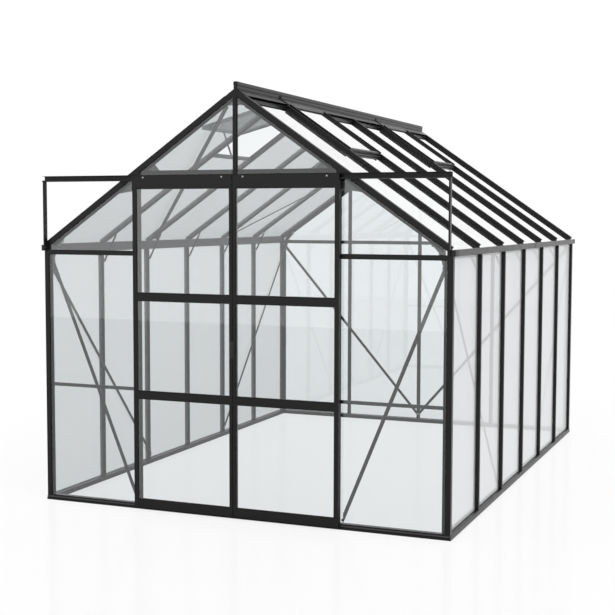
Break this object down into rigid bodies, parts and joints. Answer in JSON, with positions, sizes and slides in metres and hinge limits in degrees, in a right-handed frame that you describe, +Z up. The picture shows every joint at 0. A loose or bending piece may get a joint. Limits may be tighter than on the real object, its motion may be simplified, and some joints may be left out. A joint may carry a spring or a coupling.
{
  "type": "glass greenhouse",
  "caption": "Gable-roofed glass greenhouse in slim black aluminium bars, with sliding double doors on a top rail, gutters, bracing straps and roof vents.",
  "frame": {"origin": "on the ground, in the middle of the greenhouse's box", "axes": "+Z up, +Y along the house towards its back wall, so the doors face -Y, +X to the right seen from the front"},
  "size_m": [2.68, 3.828, 2.59],
  "materials": {
    "frame": "satin black powder coat",
    "glass": "clear toughened glass",
    "plastic": "moulded black plastic"
  },
  "bodies": {
    "house": {"back_glass": "glass", "back_sill": "frame", "corner_posts": "frame", "door_posts": "frame", "door_rail": "frame", "eaves_beams": "frame", "eaves_rails": "frame", "front_glass": "glass", "front_lintel": "frame", "front_mid_rails": "frame", "front_sill": "frame", "gable_bars": "frame", "gable_straps": "frame", "gusset_plates": "frame", "gutter_end_caps": "plastic", "gutter_faces": "frame", "gutter_floors": "frame", "knee_straps": "frame", "left_sill": "frame", "left_verge_bars": "frame", "rafters": "frame", "rail_hangers": "frame", "ridge": "frame", "ridge_strips": "frame", "ridge_wings": "frame", "right_sill": "frame", "right_verge_bars": "frame", "roof_glass": "glass", "roof_straps": "frame", "side_straps": "frame", "side_wall_bars": "frame", "side_wall_glass": "glass", "vent_cross_rails": "frame", "vent_glass": "glass", "vent_side_rails": "frame", "vent_stays": "frame", "vent_transoms": "frame"},
    "left_door": {"left_door_glass": "glass", "left_door_handle": "plastic", "left_door_header": "frame", "left_door_rails": "frame", "left_door_rollers": "plastic", "left_door_stiles": "frame"},
    "right_door": {"right_door_glass": "glass", "right_door_header": "frame", "right_door_rails": "frame", "right_door_rollers": "plastic", "right_door_stiles": "frame"}
  },
  "joints": [
    {"name": "left_door_slide", "type": "slide", "parent": "house", "child": "left_door", "axis": [-1, 0, 0], "range_m": [0, 0.6]},
    {"name": "right_door_slide", "type": "slide", "parent": "house", "child": "right_door", "axis": [1, 0, 0], "range_m": [0, 0.6]}
  ]
}
